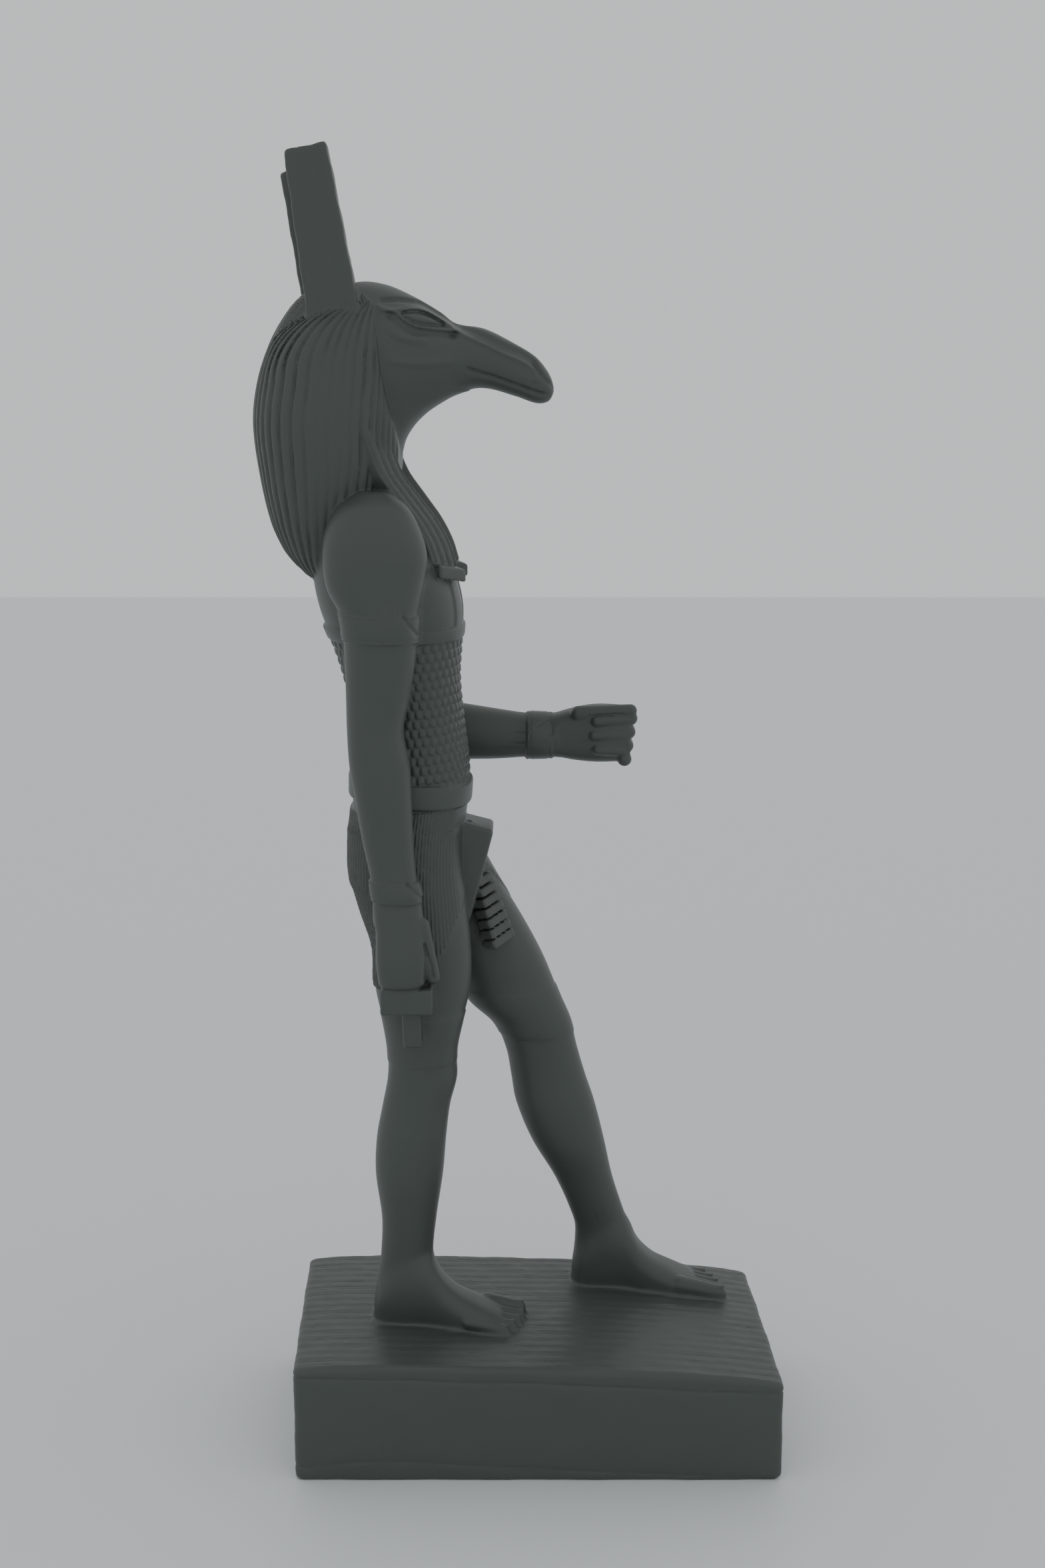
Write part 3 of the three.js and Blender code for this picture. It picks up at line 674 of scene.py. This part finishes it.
WIG = Limb(
    [
        (206.6, -51.2, -44, MIDLINE, 9),
        (208.4, -52.8, -42, MIDLINE, 12),
        (211, -55.2, -39, MIDLINE, 14.8),
        (214, -57.3, -36, MIDLINE, 16.7),
        (220, -59.8, -33, MIDLINE, 18.5),
        (231, -62.1, -29.5, MIDLINE, 19.6),
        (242, -63.2, -28.5, MIDLINE, 19.4),
        (251, -62, -28, MIDLINE, 17.8),
        (259, -59.2, -27, MIDLINE, 15.7),
        (265, -55.8, -28, MIDLINE, 12.8),
        (269.5, -52, -31, MIDLINE, 8.8),
        (272, -48, -36, MIDLINE, 4.5),
    ],
    power=2.3,
)
WIG_FRONT = [  # height, and X of the wig's front edge
    (205, -47),
    (210, -44.5),
    (214, -43),
    (220, -40),
    (226, -35),
    (231, -30.2),
    (236, -30.1),
    (241, -30.9),
    (247, -32.5),
    (255.5, -34),
    (261.7, -34.6),
    (265, -34),
    (266.8, -34.4),
    (270, -38),
    (273, -41),
]
KNOT = (-34.2, 268.3)  # where the strands meet at the temple
FAN_FOOT = 250.0  # below this height they run down with the wig's sides
STRAND_ANGLES = [  # where the grooves lie round the wig, in degrees from the front
    28, 34, 39.5, 44.5, 49.5, 55, 62.5, 70.5, 78, 86, 94, 104, 114, 123.5, 132, 139.5, 146.5, 153.5, 160.5, 167.2,
    173.6, 180,
]


def strand_angle(x, y, z):
    """The strand coordinate: the angle round the wig, drawn together at the temple knots above."""
    (middle, a, side, b), _ = WIG.section(z)
    turned = np.arctan2(np.abs(y - side) / b, (x - middle) / a)
    (middle0, a0, _, _), _ = WIG.section(np.full_like(z, FAN_FOOT))
    lift = np.clip((z - FAN_FOOT) / (KNOT[1] - FAN_FOOT), 0, 0.985)
    arch = KNOT[0] - (KNOT[0] - x) / np.sqrt(1 - lift**2)
    c = np.clip(np.where(z > FAN_FOOT, (arch - middle0) / a0, (x - middle) / a), -1, 1)
    fanned = np.arctan2((1 - np.abs(c) ** WIG.power) ** (1 / WIG.power), c)
    flat = smooth_step(0.35, 0.75, np.abs(y - side) / b)
    high = smooth_step(FAN_FOOT - 4, FAN_FOOT + 6, z)
    share = flat * high
    return turned * (1 - share) + fanned * share


def strands(x, y, z):
    """Depth of the grooves between the wig's strands."""
    degrees = np.degrees(strand_angle(x, y, z)) + 0.5 * wobble(z, x, 5)
    index = np.interp(degrees, STRAND_ANGLES, np.arange(len(STRAND_ANGLES)))
    nearest = np.round(index)
    groove = np.interp(nearest, np.arange(len(STRAND_ANGLES)), STRAND_ANGLES)
    (_, a, _, b), _ = WIG.section(z)
    gap = np.radians(np.abs(degrees - groove)) * (a + b) / 2
    faint = smooth_step(64, 76, degrees) * smooth_step(108, 94, degrees) * smooth_step(260, 254, z)
    depth = (0.42 + 0.2 * smooth_step(100, 130, degrees)) * (1 - 0.72 * faint)
    depth = depth * (1 + 0.25 * wobble(z * 1.7, degrees, 9))
    return depth * bump(gap, 0.3) + 0.1 * smooth_step(0, 1.4, gap) * -1


def wig(x, y, z):
    value = WIG(x, y, z)
    heights, edges = zip(*WIG_FRONT)
    front = x - np.interp(z, heights, edges)
    value = value + np.where(value > -2.5, strands(x, y, z), 0)
    rim = smooth_max(value, front, 0.5)
    return rim


LAPPET = [  # X, distance from the midline, height, half width and half thickness
    (-36.6, 13.4, 240, 4.4, 2.2),
    (-33.4, 12.6, 231, 4.6, 2.2),
    (-29.2, 11.6, 225, 4.8, 2.1),
    (-25.6, 10.9, 220, 4.8, 2.1),
    (-22.9, 10.4, 215, 4.8, 2.0),
    (-21.4, 10.2, 210.5, 4.8, 1.9),
]


def lappet(hand, x, y, z):
    """One of the wig's two ends on the chest, four strands wide, with a plain hem block."""
    rows = [(row[2], row[0], row[1], row[3], row[4]) for row in reversed(LAPPET)]
    heights = np.linspace(rows[0][0], rows[-1][0], 40)
    place, out, wide, thick = (np.interp(z, heights, c) for c in smooth_rows(rows, heights))
    width = np.array([-0.54, 0.84 * hand, 0])
    normal = np.array([0.78, 0.5 * hand, 0.38])
    normal = normal / np.linalg.norm(normal)
    px = x - place
    py = y - (MIDLINE + hand * out)
    u = px * width[0] + py * width[1]
    v = (px * normal[0] + py * normal[1]) * 1.0
    gap = np.maximum(np.abs(u) - wide, np.abs(v) - thick)
    strip = smooth_max(np.abs(u) - wide, np.abs(v) - thick, 0.8)
    strip = strip + 0.4 * bump(np.abs(np.abs(u) - 1.25) * 1.0, 0.22) * (gap > -2)
    strip = strip + 0.4 * bump(np.abs(u) - 3.6, 0.22)
    ends = np.maximum(rows[0][0] - 0.5 - z, z - rows[-1][0])
    strip = np.maximum(strip, ends)
    tilt = np.array([0.84, 0.54 * hand, 0.0])
    axes = (width, tilt, np.array([0, 0, 1.0]))
    hem = slab(x, y, z + 0.3 * (x + 20), (-20.4, MIDLINE + hand * 10.2, 209), axes, (5.1, 2.9, 1.45), 0.5)
    return smooth_min(strip, hem, 0.2)


def ear(root, tip, side, x, y, z):
    """A tall flat ear, cut off square at the top with its front corner higher."""
    t = np.clip((z - 262) / (tip[1] - 262), 0, 1.1)
    middle = root[0] + (tip[0] - root[0]) * t
    half = root[1] + (tip[2] - root[1]) * t
    u = x - middle
    v = y - side
    edge = 0.12 * wobble(z * 3, v * 2, 3)
    value = smooth_max(np.abs(u) - half + edge, np.abs(v) - 3 + 0.3 * t, 1.0)
    hollow = 0.35 * smooth_step(0.75, 0.35, np.abs(u) / half) * smooth_step(300, 292, z)
    furrows = 0.1 * bump(u - 0.35 * half, 0.4) + 0.1 * bump(u + 0.45 * half, 0.3)
    value = value + hollow * 0.6 + furrows
    top = z - (tip[1] + 0.2 * u) + 0.15 * wobble(u * 4, v * 3, 8)
    return smooth_max(smooth_max(value, top, 0.8), 262 - z, 0.5)


def near_ear(x, y, z):
    return ear((-43.4, 5.95), (-49.4, 300.3, 4.75), MIDLINE - 9, x, y, z)


def far_ear(x, y, z):
    return ear((-45.2, 6.4), (-51.6, 297.8, 5.6), MIDLINE + 9, x, y, z)


# Plinth

UPPER_LINE = [(-56, 25.7), (-30.2, 25.3), (-20.2, 24.8), (-1.2, 24.5), (25.5, 23.2), (40.9, 22.3), (57.7, 21.8)]
LOWER_LINE = [(-56, 3.3), (-46, 4.3), (-37.7, 4.9), (-28.1, 4.6), (-1.2, 3.1), (18.1, 2.1), (41.3, 1.2), (58, 0.4)]


def plinth(x, y, z):
    along = x - PLINTH_SKEW * y
    top = ground(along, y)
    streaks = 0.07 * wobble(y * 9, x * 0.5, 21) + 0.05 * wobble(y * 23, x * 0.9, 22)
    worn = 0.14 * wobble(x * 2.2, y * 2.2, 23)
    rise = z - top - streaks - worn * 0.6
    ends = np.abs(along) - PLINTH_LENGTH / 2 + 0.12 * wobble(y * 1.5, z * 2, 24)
    sides = np.abs(y) - PLINTH_DEPTH / 2 + 0.12 * wobble(x * 1.2, z * 2, 25)
    walls = smooth_max(ends, sides, 2.2)
    value = smooth_max(smooth_max(walls, rise, 1.5), -z, 1.0)
    upper = np.interp(along, *zip(*UPPER_LINE))
    lower = np.interp(along, *zip(*LOWER_LINE))
    skin = walls > -1.5
    value = value + 0.3 * bump(z - upper, 0.28) * skin + 0.22 * bump(z - lower, 0.25) * skin
    return value


# Everything together, in the order it is joined

REACH = FAR
STATUE = [  # lowest and highest corner, how softly it joins the rest, and the piece's own field
    ((-59, -31, 0), (59, 31, 31), 0.3, plinth),
    ((-54, -18, 100), (8, 29, 232), 1.0, dressed),
    ((-41, -15, 24), (-12, 6, 100), 1.0, near_leg),
    ((-20, 6, 24), (28, 27, 100), 1.0, far_leg),
    (*near_foot.box, 1.6, near_foot),
    (*far_foot.box, 1.6, far_foot),
    (*near_web.box, 1.2, near_web),
    (*far_web.box, 1.2, far_web),
    (*near_arm.box, 1.4, arm_near),
    ((-47, 18, 158), (8, 37, 228), 1.4, arm_far),
    ((-20, -3, 118), (-6, 13, 152), 0.3, apron),
    ((-20, -2, 118), (-4, 11, 151), 0.2, pendant),
    ((-37, -25, 114), (-20, -11, 136), 0.8, hand_near),
    ((-36, -23, 100), (-22, -9, 117), 0.3, ankh),
    ((3, 20, 158), (27, 33, 176), 0.8, hand_far),
    ((-52, -9, 214), (6, 20, 274), 1.0, head),
    ((-65, -15, 205), (-28, 26, 274), 0.25, wig),
    ((-40, -13, 206), (-14, 2, 241), 0.25, lambda x, y, z: lappet(-1, x, y, z)),
    ((-40, 9, 206), (-14, 24, 241), 0.25, lambda x, y, z: lappet(1, x, y, z)),
    ((-57, -8, 262), (-36, 0, 303), 0.5, near_ear),
    ((-60, 10, 262), (-38, 18, 300), 0.5, far_ear),
]


def field(x, y, z):
    """Distance to the statue's surface in mm, negative inside, capped at FAR outside."""
    value = np.full(x.shape, FAR, np.float32)
    low = (x.min(), y.min(), z.min())
    high = (x.max(), y.max(), z.max())
    for box_low, box_high, blend, shape in STATUE:
        if any(h < bl - REACH or l > bh + REACH for l, h, bl, bh in zip(low, high, box_low, box_high)):
            continue
        near = np.ones(x.shape, bool)
        for c, bl, bh in zip((x, y, z), box_low, box_high):
            near &= (c > bl - REACH) & (c < bh + REACH)
        near = np.flatnonzero(near)
        if near.size == 0:
            continue
        piece = shape(x[near], y[near], z[near])
        value[near] = smooth_min(value[near], np.minimum(piece, FAR), blend)
    return value


def field_of(points, chunk=60000):
    """The field at many points, a chunk at a time on every core."""
    points = np.asarray(points, np.float32)
    parts = [points[i : i + chunk] for i in range(0, len(points), chunk)]
    with ThreadPoolExecutor() as pool:
        done = pool.map(lambda p: field(p[:, 0].copy(), p[:, 1].copy(), p[:, 2].copy()), parts)
        return np.concatenate(list(done))


# From field to mesh

COARSE = 8  # lattice steps in a block of the first search
MARGIN = 1.6  # mm of relief that the first search allows for


def axis_places(stretches):
    """Lattice places along an axis, from stretches of start, end and step."""
    places = []
    for start, end, step in stretches:
        count = max(1, round((end - start) / step))
        places.append(start + (end - start) * np.arange(count) / count)
    places = np.concatenate(places + [[stretches[-1][1]]])
    extra = -len(places) % COARSE
    tail = places[-1] + np.arange(1, extra + 1) * (places[-1] - places[-2])
    return np.concatenate([places, tail]).astype(np.float32)


def surface(lattice):
    """One closed mesh of the field's zero: a vertex in every cell that the surface crosses, and a quad
    round every lattice edge that it crosses."""
    gx, gy, gz = lattice
    shape = (len(gx), len(gy), len(gz))
    blocks = [n // COARSE for n in shape]
    starts = [g[::COARSE] for g in lattice]
    stops = [np.append(s[1:], g[-1]) for s, g in zip(starts, lattice)]
    centres = np.stack(np.meshgrid(*[(a + b) / 2 for a, b in zip(starts, stops)], indexing="ij"), -1).reshape(-1, 3)
    halves = np.stack(np.meshgrid(*[(b - a) / 2 for a, b in zip(starts, stops)], indexing="ij"), -1).reshape(-1, 3)
    value = field_of(centres)
    radius = np.linalg.norm(halves, axis=1)
    near = np.abs(value) < radius * 1.35 + MARGIN
    grid = np.where(value > 0, np.float32(FAR), np.float32(-FAR)).reshape(blocks)
    grid = np.repeat(np.repeat(np.repeat(grid, COARSE, 0), COARSE, 1), COARSE, 2)
    block = np.stack(np.unravel_index(np.flatnonzero(near), blocks), 1).astype(np.int32) * COARSE
    # A second search in blocks of half the size
    half = COARSE // 2
    steps = np.stack(np.meshgrid(*[[0, half]] * 3, indexing="ij"), -1).reshape(-1, 3)
    block = (block[:, None] + steps[None]).reshape(-1, 3)
    ends = np.minimum(block + half, np.array(shape) - 1)
    low = np.stack([g[block[:, k]] for k, g in enumerate(lattice)], 1)
    high = np.stack([g[ends[:, k]] for k, g in enumerate(lattice)], 1)
    value = field_of((low + high) / 2)
    radius = np.linalg.norm((high - low) / 2, axis=1)
    near = np.abs(value) < radius * 1.35 + MARGIN * 0.8
    far = ~near
    offsets = np.stack(np.meshgrid(*[np.arange(half)] * 3, indexing="ij"), -1).reshape(-1, 3)
    strides = (shape[1] * shape[2], shape[2], 1)
    flat = grid.reshape(-1)

    def points_of(blocks_):
        index = (blocks_[:, None] + offsets[None]).reshape(-1, 3)
        return index, index @ np.array(strides)

    _, ids = points_of(block[far])
    flat[ids] = np.repeat(np.where(value[far] > 0, np.float32(FAR), np.float32(-FAR)), len(offsets))
    index, ids = points_of(block[near])
    places = np.stack([g[index[:, k]] for k, g in enumerate(lattice)], 1)
    flat[ids] = field_of(places)
    print("lattice", shape, "points", len(ids))

    corner_cells, corner_points, quads = [], [], []
    for axis in range(3):
        inside_lattice = index[:, axis] < shape[axis] - 1
        for k in range(3):
            if k != axis:
                inside_lattice &= index[:, k] > 0
        start = ids[inside_lattice]
        where = places[inside_lattice]
        at = index[inside_lattice]
        f0 = flat[start]
        f1 = flat[start + strides[axis]]
        crossed = (f0 < 0) != (f1 < 0)
        start, where, at, f0, f1 = start[crossed], where[crossed], at[crossed], f0[crossed], f1[crossed]
        t = f0 / (f0 - f1)
        g = lattice[axis]
        where = where.copy()
        where[:, axis] += t * (g[at[:, axis] + 1] - g[at[:, axis]])
        o1, o2 = [strides[k] for k in range(3) if k != axis]
        cells = np.stack([start - o1 - o2, start - o2, start, start - o1], 1)
        leaving = f0 < 0
        turned = leaving if axis != 1 else ~leaving
        cells = np.where(turned[:, None], cells, cells[:, ::-1])
        quads.append(cells)
        corner_cells.append(cells.reshape(-1))
        corner_points.append(np.repeat(where, 4, axis=0))
    quads = np.concatenate(quads)
    corner_cells = np.concatenate(corner_cells)
    corner_points = np.concatenate(corner_points)
    _, inverse = np.unique(corner_cells, return_inverse=True)
    counts = np.bincount(inverse)
    vertices = np.stack([np.bincount(inverse, corner_points[:, k]) / counts for k in range(3)], 1)
    return vertices, inverse.reshape(quads.shape)


def mesh_of(name, vertices, faces):
    mesh = bpy.data.meshes.new(name)
    mesh.vertices.add(len(vertices))
    mesh.vertices.foreach_set("co", (vertices * MM).astype(np.float32).ravel())
    mesh.loops.add(faces.size)
    mesh.loops.foreach_set("vertex_index", faces.astype(np.int32).ravel())
    mesh.polygons.add(len(faces))
    mesh.polygons.foreach_set("loop_start", np.arange(0, faces.size, 4, dtype=np.int32))
    mesh.update(calc_edges=True)
    mesh.validate()
    made = bpy.data.objects.new(name, mesh)
    bpy.context.scene.collection.objects.link(made)
    return made


import time
t0 = time.time()
SCALE = 1.0
LATTICE = (
    axis_places([(-66, -46, 0.3 * SCALE), (-46, -13, 0.24 * SCALE), (-13, 59.5, 0.34 * SCALE)]),
    axis_places([(-32, 38, 0.28 * SCALE)]),
    axis_places(
        [
            (-1, 23, 0.4 * SCALE),
            (23, 34, 0.3 * SCALE),
            (34, 98, 0.6 * SCALE),
            (98, 160, 0.36 * SCALE),
            (160, 197, 0.28 * SCALE),
            (197, 245, 0.4 * SCALE),
            (245, 272, 0.26 * SCALE),
            (272, 303, 0.5 * SCALE),
        ]
    ),
)
vertices, faces = surface(LATTICE)
print("surface", len(vertices), len(faces), time.time() - t0)
statue = mesh_of("statue_stone", vertices, faces)
print("mesh", time.time() - t0)
TRIANGLES = 196000
triangles = 2 * len(faces)
if triangles > TRIANGLES:
    thin = statue.modifiers.new("thin", "DECIMATE")
    thin.ratio = TRIANGLES / triangles
    bpy.context.view_layer.objects.active = statue
    statue.select_set(True)
    bpy.ops.object.modifier_apply(modifier="thin")
print("thin", time.time() - t0, len(statue.data.polygons))
for polygon in statue.data.polygons:
    polygon.use_smooth = True

material = bpy.data.materials.new("dark_stone")
material.use_nodes = True
shader = material.node_tree.nodes["Principled BSDF"]
shader.inputs["Base Color"].default_value = (0.06, 0.07, 0.063, 1)
shader.inputs["Roughness"].default_value = 0.45
statue.data.materials.append(material)

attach(statue, "root")
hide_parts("statue")

# Stage
bpy.ops.mesh.primitive_plane_add(size=4)
floor = bpy.context.object
floor.name = "floor"
pale = bpy.data.materials.new("pale_floor")
pale.use_nodes = True
pale.node_tree.nodes["Principled BSDF"].inputs["Base Color"].default_value = (0.8, 0.82, 0.83, 1)
floor.data.materials.append(pale)

world = bpy.data.worlds.new("studio")
world.use_nodes = True
world.node_tree.nodes["Background"].inputs[0].default_value = (0.8, 0.83, 0.84, 1)
world.node_tree.nodes["Background"].inputs[1].default_value = 0.9
bpy.context.scene.world = world

camera_data = bpy.data.cameras.new("camera")
camera = bpy.data.objects.new("camera", camera_data)
bpy.context.scene.collection.objects.link(camera)
camera.location = Vector((-2.56, -439.68, 247.08)) * MM
camera.rotation_euler = (math.radians(90 - 11.293), 0, 0)
camera_data.sensor_width = 36
camera_data.lens = 2900 / 2352 * 36
camera_data.clip_start = 0.01
bpy.context.scene.camera = camera
